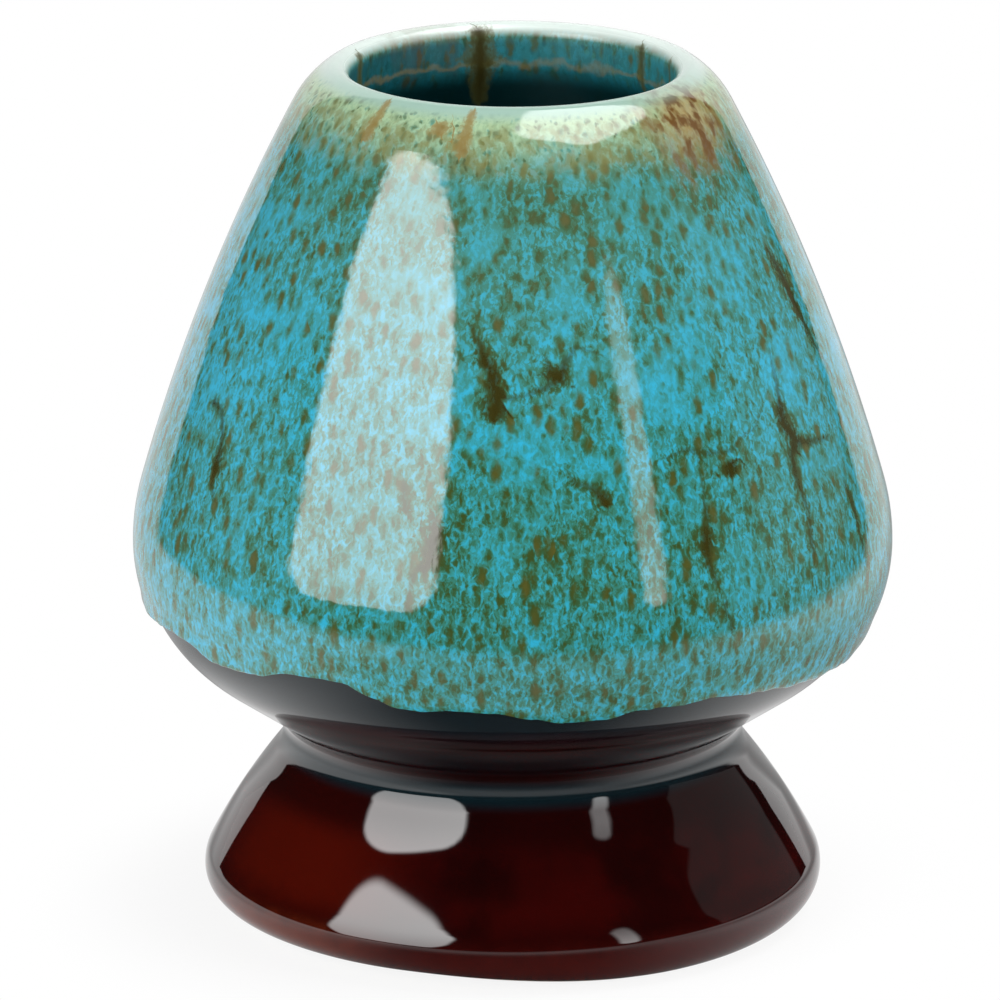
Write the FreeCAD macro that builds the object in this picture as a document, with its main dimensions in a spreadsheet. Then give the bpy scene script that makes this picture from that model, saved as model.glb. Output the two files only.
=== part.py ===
import FreeCAD, Part
import math
import os
import Sketcher

os.makedirs("parts", exist_ok=True)
doc = FreeCAD.newDocument("tea_whisk_holder")

# Driving dimensions of the fired clay, in millimetres.
# A share is a part of another size, as the comment beside it says.
driving_sizes = {
    "clay_height": 74.6,
    "bore_radius": 14.8,
    "lip_inner_round": 0.4,
    "lip_outer_round": 7.8,
    "lip_lean_share": 0.53,         # outer lip arc's centre inside the inner's, of the radii's difference
    "lip_land": 2.4,
    "lip_edge_round": 1.2,
    "belly_radius": 32.1,
    "belly_height": 33.2,
    "wall": 3.2,
    "floor_thickness": 5.0,
    "wall_bow_share": 4.2,          # wall arc, of the height from belly to rim
    "shoulder_round_share": 0.44,   # shoulder arc, of the height from belly to rim
    "under_round_share": 0.94,      # underside arc, of the height from waist to belly less the waist arc
    "waist_radius": 19.7,
    "waist_height": 16.2,
    "waist_round": 3.1,
    "slip_thickness": 0.4,
    "toe_radius": 26.6,
    "toe_height": 3.8,
    "toe_round": 3.3,
    "flank_bow_share": 3.5,         # foot flank arc, of the waist height
    "foot_ring_radius": 23.6,
    "foot_ring_width": 3.0,
    "foot_roof_thickness": 4.0,
    "foot_well_round_share": 0.65,  # well's quarter arc, of the depth of the well
    "bare_strip": 0.9,
    "well_bare_strip": 1.5,
    "base_coat": 0.3,
    "run_coat": 0.5,
}

# Height of the poured glaze's lower edge, as a share of the way from waist to belly.
# Evenly spaced round the holder, anticlockwise seen from above, the first towards +X.
run_line_shares = [
    0.56, 0.59, 0.63, 0.57, 0.54, 0.60, 0.62, 0.57, 0.60, 0.65, 0.60, 0.62,
    0.68, 0.72, 0.75, 0.69, 0.76, 0.64, 0.63, 0.59, 0.64, 0.60, 0.56, 0.53,
]
run_tool_reach_share = 1.5  # how far the run line's tool reaches, of the glazed underside arc

sheet = doc.addObject("Spreadsheet::Sheet", "sizes")
for row, (alias, number) in enumerate(driving_sizes.items(), start=1):
    sheet.set(f"A{row}", alias)
    sheet.set(f"B{row}", str(number))
    sheet.setAlias(f"B{row}", alias)
doc.recompute()

# Sizes that follow from the sheet, written once and used by every section.
rim_rise = "(sizes.clay_height - sizes.belly_height)"
belly_rise = "(sizes.belly_height - sizes.waist_height)"
wall_bow = f"(sizes.wall_bow_share * {rim_rise})"
shoulder_round = f"(sizes.shoulder_round_share * {rim_rise})"
under_round = f"(sizes.under_round_share * ({belly_rise} - sizes.waist_round))"
flank_bow = "(sizes.flank_bow_share * sizes.waist_height)"
lip_centre = "(sizes.bore_radius + sizes.lip_inner_round)"
glaze_meeting = "(sizes.clay_height - sizes.lip_inner_round)"
lip_apart = "(sizes.lip_outer_round - sizes.lip_inner_round)"
lip_across = f"({lip_centre} - sizes.lip_lean_share * {lip_apart})"
lip_up = f"({glaze_meeting} - sqrt(1 - sizes.lip_lean_share^2) * {lip_apart})"
floor_height = "(sizes.waist_height + sizes.floor_thickness)"
well_roof = "(sizes.waist_height - sizes.foot_roof_thickness)"
well_round = f"(sizes.foot_well_round_share * {well_roof})"
well_radius = "(sizes.foot_ring_radius - sizes.foot_ring_width)"
slip_half = "(sizes.slip_thickness / 2)"

no_coat = "0"
base_coat = "sizes.base_coat"
full_coat = "(sizes.base_coat + sizes.run_coat)"

quarter_turn = math.pi / 2
bore_angle = math.pi


def size(expression):
    return float(sheet.evalExpression(expression.replace("sizes.", "")))


def point_on(centre, radius, angle):
    return (centre[0] + radius * math.cos(angle), centre[1] + radius * math.sin(angle))


def bearing(start, end):
    return math.atan2(end[1] - start[1], end[0] - start[0])


def circles_meet(first, first_radius, second, second_radius):
    # The meeting point of two circles that lies to the left on the way from first to second.
    apart = math.dist(first, second)
    along = (apart**2 + first_radius**2 - second_radius**2) / (2 * apart)
    return point_on(first, first_radius, bearing(first, second) + math.acos(along / first_radius))


def crossing_tangent(first, first_radius, second, second_radius, side):
    # Where the line that passes between two circles touches each of them.
    turn = side * math.acos((first_radius + second_radius) / math.dist(first, second))
    angle = bearing(first, second) + turn
    return angle, angle + math.pi


class Section:
    # A closed half section in its body's XZ plane, drawn end to end and then closed.
    def __init__(self, body, name):
        self.body = body
        self.sketch = body.newObject("Sketcher::SketchObject", name)
        plane = next(item for item in body.Origin.OriginFeatures if item.Role == "XZ_Plane")
        self.sketch.AttachmentSupport = [(plane, "")]
        self.sketch.MapMode = "FlatFace"
        self.ends = []

    def add(self, shape, first, last, smooth):
        index = self.sketch.addGeometry(shape, False)
        if self.ends:
            self.join(self.ends[-1], (index, first), smooth)
        self.ends.append((index, last))
        if len(self.ends) == 1:
            self.start = (index, first)
        return index

    def join(self, before, after, smooth):
        kind = "Tangent" if smooth else "Coincident"
        self.sketch.addConstraint(Sketcher.Constraint(kind, *before, *after))

    def line(self, start, end, smooth=False, direction=None):
        shape = Part.LineSegment(FreeCAD.Vector(*start, 0), FreeCAD.Vector(*end, 0))
        index = self.add(shape, 1, 2, smooth)
        if direction:
            self.sketch.addConstraint(Sketcher.Constraint(direction, index))
        return index

    def arc(self, centre, radius, start_angle, end_angle, smooth=True):
        while end_angle - start_angle > math.pi:
            end_angle -= 2 * math.pi
        while start_angle - end_angle > math.pi:
            end_angle += 2 * math.pi
        circle = Part.Circle(FreeCAD.Vector(*centre, 0), FreeCAD.Vector(0, 0, 1), size(radius))
        shape = Part.ArcOfCircle(circle, min(start_angle, end_angle), max(start_angle, end_angle))
        first, last = (1, 2) if end_angle > start_angle else (2, 1)
        index = self.add(shape, first, last, smooth)
        self.bind("Radius", (index,), radius)
        return index

    def bind(self, kind, elements, expression):
        constraint = self.sketch.addConstraint(Sketcher.Constraint(kind, *elements, size(expression)))
        self.sketch.setExpression(f"Constraints[{constraint}]", expression)

    def place(self, index, position, across=None, up=None):
        if across:
            self.bind("DistanceX", (-1, 1, index, position), across)
        if up:
            self.bind("DistanceY", (-1, 1, index, position), up)

    def close_on_axis(self, top, bottom):
        # The last line runs down the axis, back to the section's first point.
        index = self.line((0, top), (0, bottom), direction="Vertical")
        self.join((index, 2), self.start, False)
        self.sketch.addConstraint(Sketcher.Constraint("PointOnObject", index, 2, -2))

    def revolve(self, kind="PartDesign::Revolution"):
        feature = self.body.newObject(kind, f"{self.sketch.Name}_turned")
        feature.Profile = self.sketch
        feature.ReferenceAxis = (self.sketch, ["V_Axis"])
        return feature


def new_body(name):
    body = doc.addObject("PartDesign::Body", name)
    body.Label = name
    return body


class OuterProfile:
    # Centres, radii and tangent points of the outside, at one thickness of coat over the clay.
    def __init__(self, coat):
        self.coat = coat
        self.toe_round = f"(sizes.toe_round + {coat})"
        self.flank_round = f"({flank_bow} + {coat})"
        self.waist_round = f"(sizes.waist_round - {coat})"
        self.under_round = f"({under_round} + {coat})"
        self.shoulder_round = f"({shoulder_round} + {coat})"
        self.wall_round = f"({wall_bow} + {coat})"
        self.lip_outer_round = f"(sizes.lip_outer_round + {coat})"
        self.lip_inner_round = f"(sizes.lip_inner_round + {coat})"
        self.toe_across = "(sizes.toe_radius - sizes.toe_round)"
        self.waist_across = "(sizes.waist_radius + sizes.waist_round)"
        self.under_across = f"(sizes.belly_radius - {under_round})"

        self.toe = (size(self.toe_across), size("sizes.toe_height"))
        self.waist = (size(self.waist_across), size("sizes.waist_height"))
        self.under = (size(self.under_across), size("sizes.belly_height"))
        self.shoulder = (size(f"sizes.belly_radius - {shoulder_round}"), size("sizes.belly_height"))
        self.lip_outer = (size(lip_across), size(lip_up))
        self.lip_inner = (size(lip_centre), size(glaze_meeting))
        self.flank = circles_meet(
            self.toe, size(self.flank_round) - size(self.toe_round),
            self.waist, size(self.flank_round) + size(self.waist_round),
        )
        self.wall = circles_meet(
            self.shoulder, size(self.wall_round) - size(self.shoulder_round),
            self.lip_outer, size(self.wall_round) - size(self.lip_outer_round),
        )
        self.toe_end = bearing(self.flank, self.toe)
        self.flank_end = bearing(self.flank, self.waist)
        self.waist_end, self.under_start = crossing_tangent(
            self.waist, size(self.waist_round), self.under, size(self.under_round), 1,
        )
        self.shoulder_end = bearing(self.wall, self.shoulder)
        self.wall_end = bearing(self.wall, self.lip_outer)
        self.lip_turn = bearing(self.lip_outer, self.lip_inner)
        strip_angle = "asin((sizes.toe_height - sizes.bare_strip) / sizes.toe_round)"
        self.glaze_line = -math.radians(size(strip_angle))

    def waist_angle(self, up):
        # The waist arc's angle where a level plane crosses it on the side of the axis.
        return math.pi - math.asin((size(up) - self.waist[1]) / size(self.waist_round))


def draw_toe_and_flank(section, profile, foot_start):
    toe = section.arc(profile.toe, profile.toe_round, foot_start, profile.toe_end, smooth=False)
    section.place(toe, 3, profile.toe_across, "sizes.toe_height")
    section.arc(profile.flank, profile.flank_round, profile.toe_end, profile.flank_end)
    return toe


def draw_waist(section, profile, start_angle, end_angle, smooth):
    waist = section.arc(profile.waist, profile.waist_round, start_angle, end_angle, smooth)
    section.place(waist, 3, profile.waist_across, "sizes.waist_height")
    return waist


def draw_bowl_side(section, profile):
    # From the waist over belly, shoulder, wall and lip to the level where the glazes meet.
    line_start = point_on(profile.waist, size(profile.waist_round), profile.waist_end)
    line_end = point_on(profile.under, size(profile.under_round), profile.under_start)
    section.line(line_start, line_end, smooth=True)
    under = section.arc(profile.under, profile.under_round, profile.under_start, 0)
    section.place(under, 3, profile.under_across, "sizes.belly_height")
    shoulder = section.arc(profile.shoulder, profile.shoulder_round, 0, profile.shoulder_end)
    section.place(shoulder, 3, up="sizes.belly_height")
    section.arc(profile.wall, profile.wall_round, profile.shoulder_end, profile.wall_end)
    outer = section.arc(profile.lip_outer, profile.lip_outer_round, profile.wall_end, profile.lip_turn)
    section.place(outer, 3, lip_across, lip_up)
    inner = section.arc(profile.lip_inner, profile.lip_inner_round, profile.lip_turn, bore_angle)
    section.place(inner, 3, across=lip_centre)
    bore = point_on(profile.lip_inner, size(profile.lip_inner_round), bore_angle)
    section.line(bore, (0, bore[1]), direction="Horizontal")
    section.place(inner, 2, up=glaze_meeting)
    return bore[1]


def bowl_section(body, name):
    # The clay bowl's outside, from the slip joint at the waist to the lip.
    profile = OuterProfile(no_coat)
    section = Section(body, name)
    bottom = f"(sizes.waist_height + {slip_half})"
    angle = profile.waist_angle(bottom)
    corner = point_on(profile.waist, size(profile.waist_round), angle)
    section.line((0, corner[1]), corner, direction="Horizontal")
    waist = draw_waist(section, profile, angle, profile.waist_end, smooth=False)
    section.place(waist, 2, up=bottom)
    top = draw_bowl_side(section, profile)
    section.close_on_axis(top, corner[1])
    return section


def foot_section(body, name):
    # The clay foot's outside, from the ring it stands on to the slip joint at the waist.
    profile = OuterProfile(no_coat)
    section = Section(body, name)
    top = f"(sizes.waist_height - {slip_half})"
    ring = size("sizes.foot_ring_radius")
    glaze_start = point_on(profile.toe, size(profile.toe_round), profile.glaze_line)
    base = section.line((0, 0), (ring, 0), direction="Horizontal")
    section.place(base, 2, across="sizes.foot_ring_radius")
    section.sketch.addConstraint(Sketcher.Constraint("PointOnObject", base, 1, -1))
    section.line((ring, 0), glaze_start)
    toe = draw_toe_and_flank(section, profile, profile.glaze_line)
    section.place(toe, 1, up="sizes.bare_strip")
    angle = profile.waist_angle(top)
    waist = draw_waist(section, profile, profile.flank_end + math.pi, angle, smooth=True)
    section.place(waist, 1, up=top)
    corner = point_on(profile.waist, size(profile.waist_round), angle)
    section.line(corner, (0, corner[1]), direction="Horizontal")
    section.close_on_axis(corner[1], 0)
    return section


def slip_section(body, name):
    # The disc of clay slip between bowl and foot, with the waist's own curve at its edge.
    profile = OuterProfile(no_coat)
    section = Section(body, name)
    bottom = f"(sizes.waist_height - {slip_half})"
    top = f"(sizes.waist_height + {slip_half})"
    low_angle = profile.waist_angle(bottom)
    high_angle = profile.waist_angle(top)
    low = point_on(profile.waist, size(profile.waist_round), low_angle)
    high = point_on(profile.waist, size(profile.waist_round), high_angle)
    section.line((0, low[1]), low, direction="Horizontal")
    waist = draw_waist(section, profile, low_angle, high_angle, smooth=False)
    section.place(waist, 2, up=bottom)
    section.place(waist, 1, up=top)
    section.line(high, (0, high[1]), direction="Horizontal")
    section.close_on_axis(high[1], low[1])
    return section


def glazed_section(body, name, coat):
    # The whole outside under one thickness of coat. It ends square to the clay at the toe.
    profile = OuterProfile(coat)
    section = Section(body, name)
    section.line((0, profile.toe[1]), profile.toe, direction="Horizontal")
    edge = point_on(profile.toe, size(profile.toe_round), profile.glaze_line)
    radial = section.line(profile.toe, edge)
    toe = draw_toe_and_flank(section, profile, profile.glaze_line)
    section.sketch.addConstraint(Sketcher.Constraint("Coincident", radial, 1, toe, 3))
    rise = "(sizes.toe_height - sizes.bare_strip)"
    section.bind("DistanceY", (toe, 1, toe, 3), f"({rise} * {profile.toe_round} / sizes.toe_round)")
    draw_waist(section, profile, profile.flank_end + math.pi, profile.waist_end, smooth=True)
    top = draw_bowl_side(section, profile)
    section.close_on_axis(top, profile.toe[1])
    return section


def cavity_section(body, name, coat):
    # The room inside the bowl, made smaller all round by the thickness of its coat.
    edge_round = f"(sizes.lip_edge_round + {coat})"
    shoulder_inside = f"({shoulder_round} - sizes.wall - {coat})"
    floor_reach = f"(sizes.belly_height - {floor_height})"
    floor_round = f"({floor_reach} - {coat})"
    edge_across = "(sizes.bore_radius + sizes.lip_edge_round)"
    edge_up = f"({glaze_meeting} - sizes.lip_land)"
    shoulder_across = f"(sizes.belly_radius - {shoulder_round})"
    edge = (size(edge_across), size(edge_up))
    shoulder = (size(shoulder_across), size("sizes.belly_height"))
    floor = (size(f"sizes.belly_radius - sizes.wall - {floor_reach}"), shoulder[1])
    edge_end, wall_start = crossing_tangent(edge, size(edge_round), shoulder, size(shoulder_inside), -1)
    top = size(glaze_meeting)
    bore = edge[0] - size(edge_round)
    bottom = floor[1] - size(floor_round)

    section = Section(body, name)
    lid = section.line((0, top), (bore, top), direction="Horizontal")
    section.place(lid, 2, up=glaze_meeting)
    section.line((bore, top), (bore, edge[1]), direction="Vertical")
    lip = section.arc(edge, edge_round, bore_angle, edge_end)
    section.place(lip, 3, edge_across, edge_up)
    wall_top = point_on(edge, size(edge_round), edge_end)
    wall_foot = point_on(shoulder, size(shoulder_inside), wall_start)
    section.line(wall_top, wall_foot, smooth=True)
    inside = section.arc(shoulder, shoulder_inside, wall_start, 0)
    section.place(inside, 3, shoulder_across, "sizes.belly_height")
    hollow = section.arc(floor, floor_round, 0, -quarter_turn)
    section.place(hollow, 3, up="sizes.belly_height")
    section.line((floor[0], bottom), (0, bottom), smooth=True, direction="Horizontal")
    section.close_on_axis(bottom, top)
    return section


def well_section(body, name, coat, bottom):
    # The hollow under the foot, made smaller by the thickness of its coat.
    corner_round = f"({well_round} - {coat})"
    corner_across = f"({well_radius} - {well_round})"
    corner_up = f"({well_roof} - {well_round})"
    corner = (size(corner_across), size(corner_up))
    roof = corner[1] + size(corner_round)
    side = corner[0] + size(corner_round)

    section = Section(body, name)
    section.line((0, roof), (corner[0], roof), direction="Horizontal")
    arc = section.arc(corner, corner_round, quarter_turn, 0)
    section.place(arc, 3, corner_across, corner_up)
    section.line((side, corner[1]), (side, size(bottom)), smooth=True, direction="Vertical")
    base = section.line((side, size(bottom)), (0, size(bottom)), direction="Horizontal")
    if size(bottom):
        section.place(base, 2, up=bottom)
    else:
        section.sketch.addConstraint(Sketcher.Constraint("PointOnObject", base, 2, -1))
    section.close_on_axis(size(bottom), roof)
    return section


def run_line_tool():
    # Everything above the wavy run line: a ruled loft whose cut stands square to the glaze.
    profile = OuterProfile(full_coat)
    centre_radius, centre_up = profile.under
    reach = run_tool_reach_share * size(profile.under_round)
    points = []
    for index, share in enumerate(run_line_shares):
        drop = size(belly_rise) * (1 - share)
        slope = -math.asin(drop / size(profile.under_round))
        radius, height = point_on(profile.under, reach, slope)
        turn = 2 * math.pi * index / len(run_line_shares)
        points.append(FreeCAD.Vector(radius * math.cos(turn), radius * math.sin(turn), height))
    run_edge = Part.BSplineCurve()
    run_edge.interpolate(points, PeriodicFlag=True)

    def level_circle(radius, height):
        return Part.Wire(Part.makeCircle(radius, FreeCAD.Vector(0, 0, height)))

    inside = level_circle(centre_radius, centre_up)
    above = level_circle(centre_radius + reach, size("sizes.clay_height") + reach)
    tool = doc.addObject("Part::Feature", "run_line_tool")
    tool.Shape = Part.makeLoft([inside, Part.Wire(run_edge.toShape()), above], True, True)
    return tool


# The thrown bowl, hollowed out through its mouth.
body_shell = new_body("body_shell")
bowl_section(body_shell, "bowl_outside").revolve()
cavity_section(body_shell, "bowl_cavity", no_coat).revolve("PartDesign::Groove")

# The thrown foot, hollow underneath, on a narrow ring.
foot_stand = new_body("foot_stand")
foot_section(foot_stand, "foot_outside").revolve()
well_section(foot_stand, "foot_well", no_coat, "0").revolve("PartDesign::Groove")

# The slip that luted foot to bowl.
joint_slip = new_body("joint_slip")
slip_section(joint_slip, "slip_disc").revolve()

# The iron glaze over the whole outside and over the lip, bare at the foot ring.
base_glaze = new_body("base_glaze")
glazed_section(base_glaze, "base_coat_outside", base_coat).revolve()
glazed_section(base_glaze, "base_coat_inside", no_coat).revolve("PartDesign::Groove")

# The poured glaze over it, from the mouth down to its own wavy run line.
run_coat_layer = new_body("run_coat_layer")
glazed_section(run_coat_layer, "run_coat_outside", full_coat).revolve()
glazed_section(run_coat_layer, "run_coat_inside", base_coat).revolve("PartDesign::Groove")
run_glaze = doc.addObject("Part::Common", "run_glaze")
run_glaze.Base = run_coat_layer
run_glaze.Tool = run_line_tool()

# The lining that the poured glaze leaves inside mouth and bowl.
lining_glaze = new_body("lining_glaze")
cavity_section(lining_glaze, "lining_outside", no_coat).revolve()
cavity_section(lining_glaze, "lining_inside", full_coat).revolve("PartDesign::Groove")

# The coat inside the hollow foot, above a bare strip.
foot_lining_glaze = new_body("foot_lining_glaze")
well_section(foot_lining_glaze, "well_coat_outside", no_coat, "sizes.well_bare_strip").revolve()
well_inside = well_section(foot_lining_glaze, "well_coat_inside", base_coat, "sizes.well_bare_strip")
well_inside.revolve("PartDesign::Groove")

nodes = [body_shell, foot_stand, joint_slip, base_glaze, run_glaze, lining_glaze, foot_lining_glaze]
doc.recompute()

for item in doc.Objects:
    if "Invalid" in item.State or "Error" in item.State:
        raise RuntimeError(f"{item.Name} failed: {item.State}")
for node in nodes:
    if node.Shape.isNull() or not node.Shape.isValid() or not node.Shape.Solids:
        raise RuntimeError(f"{node.Label} has no valid solid")
for node in nodes:
    node.Shape.exportStep(f"parts/{node.Label}.step")
    box = node.Shape.optimalBoundingBox()
    print(f"{node.Label}: {len(node.Shape.Solids)} solid, {node.Shape.Volume:.1f} cubic mm, "
          f"{box.XLength:.2f} x {box.YLength:.2f}, z {box.ZMin:.2f} to {box.ZMax:.2f}")
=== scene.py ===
import math

import bmesh
import bpy
from mathutils import Matrix, Vector, kdtree, noise


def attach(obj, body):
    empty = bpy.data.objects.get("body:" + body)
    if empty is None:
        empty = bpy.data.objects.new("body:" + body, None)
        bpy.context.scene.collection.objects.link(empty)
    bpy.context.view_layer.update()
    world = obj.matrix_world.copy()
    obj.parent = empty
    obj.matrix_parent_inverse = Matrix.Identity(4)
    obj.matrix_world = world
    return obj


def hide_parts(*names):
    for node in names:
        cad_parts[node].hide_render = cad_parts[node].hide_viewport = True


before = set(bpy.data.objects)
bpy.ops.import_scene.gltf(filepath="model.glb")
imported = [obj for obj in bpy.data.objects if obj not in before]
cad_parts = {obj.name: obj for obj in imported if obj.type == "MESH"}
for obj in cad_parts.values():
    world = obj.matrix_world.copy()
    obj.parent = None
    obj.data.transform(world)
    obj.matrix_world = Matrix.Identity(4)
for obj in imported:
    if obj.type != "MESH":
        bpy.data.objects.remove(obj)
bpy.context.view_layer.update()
print("frame loaded:", sorted(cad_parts))

# fired clay and its coats, in millimetres
vessel = {
    "clayHeight": 74.6,
    "boreRadius": 14.8,
    "lipInnerRound": 0.4,
    "lipOuterRound": 7.8,
    "lipLean": 0.53,
    "lipLand": 2.4,
    "lipEdgeRound": 1.2,
    "bellyRadius": 32.1,
    "bellyHeight": 33.2,
    "wall": 3.2,
    "floorThickness": 5.0,
    "wallBow": 173.9,
    "shoulderRound": 18.22,
    "underRound": 13.07,
    "waistRadius": 19.7,
    "waistHeight": 16.2,
    "waistRound": 3.1,
    "slipHalf": 0.2,
    "toeRadius": 26.6,
    "toeHeight": 3.8,
    "toeRound": 3.3,
    "flankBow": 56.7,
    "footRingRadius": 23.6,
    "footRingWidth": 3.0,
    "footRoof": 12.2,
    "wellRound": 7.93,
    "bareStrip": 0.9,
    "wellBareStrip": 1.5,
    "baseCoat": 0.3,
    "fullCoat": 0.8,
}


def onCircle(centre, radius, degrees):
    turn = math.radians(degrees)
    return centre[0] + radius * math.cos(turn), centre[1] + radius * math.sin(turn)


def bearing(start, end):
    return math.degrees(math.atan2(end[1] - start[1], end[0] - start[0]))


def circlesMeet(first, firstRadius, second, secondRadius):
    # the meeting point to the left on the way from first to second
    apart = math.dist(first, second)
    along = (apart**2 + firstRadius**2 - secondRadius**2) / (2 * apart)
    return onCircle(first, firstRadius, bearing(first, second) + math.degrees(math.acos(along / firstRadius)))


def crossingTurn(first, firstRadius, second, secondRadius, side):
    # bearing from first's centre to where a line that passes between both circles touches it
    lean = math.degrees(math.acos((firstRadius + secondRadius) / math.dist(first, second)))
    return bearing(first, second) + side * lean


def outsideArcs(coat):
    # the outside from toe to bore under one thickness of coat: centre, radius, first and last angle
    v = vessel
    toe = (v["toeRadius"] - v["toeRound"], v["toeHeight"])
    waist = (v["waistRadius"] + v["waistRound"], v["waistHeight"])
    under = (v["bellyRadius"] - v["underRound"], v["bellyHeight"])
    shoulder = (v["bellyRadius"] - v["shoulderRound"], v["bellyHeight"])
    crest = (v["boreRadius"] + v["lipInnerRound"], v["clayHeight"] - v["lipInnerRound"])
    apart, lean = v["lipOuterRound"] - v["lipInnerRound"], v["lipLean"]
    lip = (crest[0] - lean * apart, crest[1] - math.sqrt(1 - lean**2) * apart)
    toeRound, flankRound, waistRound = v["toeRound"] + coat, v["flankBow"] + coat, v["waistRound"] - coat
    underRound, shoulderRound = v["underRound"] + coat, v["shoulderRound"] + coat
    wallRound, lipRound = v["wallBow"] + coat, v["lipOuterRound"] + coat
    flank = circlesMeet(toe, flankRound - toeRound, waist, flankRound + waistRound)
    wall = circlesMeet(shoulder, wallRound - shoulderRound, lip, wallRound - lipRound)
    glazeLine = -math.degrees(math.asin((v["toeHeight"] - v["bareStrip"]) / v["toeRound"]))
    toeEnd, flankEnd = bearing(flank, toe), bearing(flank, waist)
    waistEnd = crossingTurn(waist, waistRound, under, underRound, 1)
    shoulderEnd, wallEnd = bearing(wall, shoulder), bearing(wall, lip)
    return {
        "toe": (toe, toeRound, glazeLine, toeEnd),
        "flank": (flank, flankRound, toeEnd, flankEnd),
        "waist": (waist, waistRound, flankEnd + 180, waistEnd),
        "under": (under, underRound, waistEnd - 180, 0),
        "shoulder": (shoulder, shoulderRound, 0, shoulderEnd),
        "wall": (wall, wallRound, shoulderEnd, wallEnd),
        "lip": (lip, lipRound, wallEnd, bearing(lip, crest)),
        "crest": (crest, v["lipInnerRound"] + coat, bearing(lip, crest), 180),
    }


def insideArcs(coat):
    # the bowl's inside from its floor to the bore under one thickness of coat
    v = vessel
    floorHeight = v["waistHeight"] + v["floorThickness"]
    reach = v["bellyHeight"] - floorHeight
    meeting = v["clayHeight"] - v["lipInnerRound"]
    shoulder = (v["bellyRadius"] - v["shoulderRound"], v["bellyHeight"])
    floor = (v["bellyRadius"] - v["wall"] - reach, v["bellyHeight"])
    edge = (v["boreRadius"] + v["lipEdgeRound"], meeting - v["lipLand"])
    shoulderRound, edgeRound = v["shoulderRound"] - v["wall"] - coat, v["lipEdgeRound"] + coat
    turn = crossingTurn(edge, edgeRound, shoulder, shoulderRound, -1)
    return {
        "hollow": (floor, reach - coat, -90, 0),
        "shoulder": (shoulder, shoulderRound, 0, turn + 180),
        "edge": (edge, edgeRound, turn % 360, 180),
    }


class Contour:
    # a half section in millimetres, grown from its last vertex: arcs are spun, straight runs extruded
    def __init__(self, start):
        self.mesh = bmesh.new()
        self.tip = self.mesh.verts.new((start[0], 0, start[1]))
        self.first = self.tip

    def lineTo(self, point, runs=1):
        start = self.tip.co.copy()
        for run in range(runs):
            made = bmesh.ops.extrude_vert_indiv(self.mesh, verts=[self.tip])
            self.tip = made["verts"][0]
            self.tip.co = start.lerp(Vector((point[0], 0, point[1])), (run + 1) / runs)

    def arc(self, arc, step, back=False):
        centre, radius, start, end = arc
        if back:
            start, end = end, start
        begin = onCircle(centre, radius, start)
        if math.dist(begin, (self.tip.co.x, self.tip.co.z)) > 0.004:
            self.lineTo(begin)
        count = max(2, round(abs(math.radians(end - start)) * radius / step))
        made = bmesh.ops.spin(
            self.mesh, geom=[self.tip], cent=(centre[0], 0, centre[1]), axis=(0, -1, 0),
            angle=math.radians(end - start), steps=count, use_duplicate=False,
        )
        self.tip = next(item for item in made["geom_last"] if isinstance(item, bmesh.types.BMVert))

    def turn(self, steps):
        # the section spun through a sixteenth, which is doubled four times to go all round;
        # what touches the axis closes in a pole
        if self.tip.co.x > 0.001:
            self.mesh.edges.new((self.tip, self.first))
        parts = self.mesh.verts[:] + self.mesh.edges[:]
        turned = math.pi / 8
        bmesh.ops.spin(
            self.mesh, geom=parts, cent=(0, 0, 0), axis=(0, 0, 1),
            angle=turned, steps=steps // 16, use_duplicate=False,
        )
        while turned < 6:
            copied = bmesh.ops.duplicate(self.mesh, geom=self.mesh.verts[:] + self.mesh.edges[:] + self.mesh.faces[:])
            verts = [item for item in copied["geom"] if isinstance(item, bmesh.types.BMVert)]
            bmesh.ops.rotate(self.mesh, verts=verts, cent=(0, 0, 0), matrix=Matrix.Rotation(turned, 3, "Z"))
            turned *= 2
        bmesh.ops.remove_doubles(self.mesh, verts=self.mesh.verts, dist=0.0005)
        bmesh.ops.recalc_face_normals(self.mesh, faces=self.mesh.faces)
        return self.mesh


def makePiece(name, mesh, material, slot, *nodes):
    bmesh.ops.scale(mesh, vec=(0.001, 0.001, 0.001), verts=mesh.verts)
    data = bpy.data.meshes.new(name)
    mesh.to_mesh(data)
    mesh.free()
    data.shade_smooth()
    piece = bpy.data.objects.new(name, data)
    bpy.context.scene.collection.objects.link(piece)
    data.materials.append(material)
    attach(piece, "root")
    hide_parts(*nodes)
    print(name, "has", len(data.polygons), "faces")


class Wire:
    # one node output; sums on it add their Math nodes
    def __init__(self, recipe, socket):
        self.recipe = recipe
        self.socket = socket

    def work(self, operation, first, second=0.0):
        return self.recipe.add("Math", {"operation": operation}, {0: first, 1: second})

    def __add__(self, other):
        return self.work("ADD", self, other)

    def __radd__(self, other):
        return self.work("ADD", other, self)

    def __sub__(self, other):
        return self.work("SUBTRACT", self, other)

    def __rsub__(self, other):
        return self.work("SUBTRACT", other, self)

    def __mul__(self, other):
        return self.work("MULTIPLY", self, other)

    def __rmul__(self, other):
        return self.work("MULTIPLY", other, self)

    def __truediv__(self, other):
        return self.work("DIVIDE", self, other)

    def __pow__(self, other):
        return self.work("POWER", self, other)

    def least(self, other):
        return self.work("MINIMUM", self, other)

    def most(self, other):
        return self.work("MAXIMUM", self, other)

    def size(self):
        return self.work("ABSOLUTE", self)

    def beside(self, output):
        # another output of the same node
        return Wire(self.recipe, self.socket.node.outputs[output])


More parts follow.
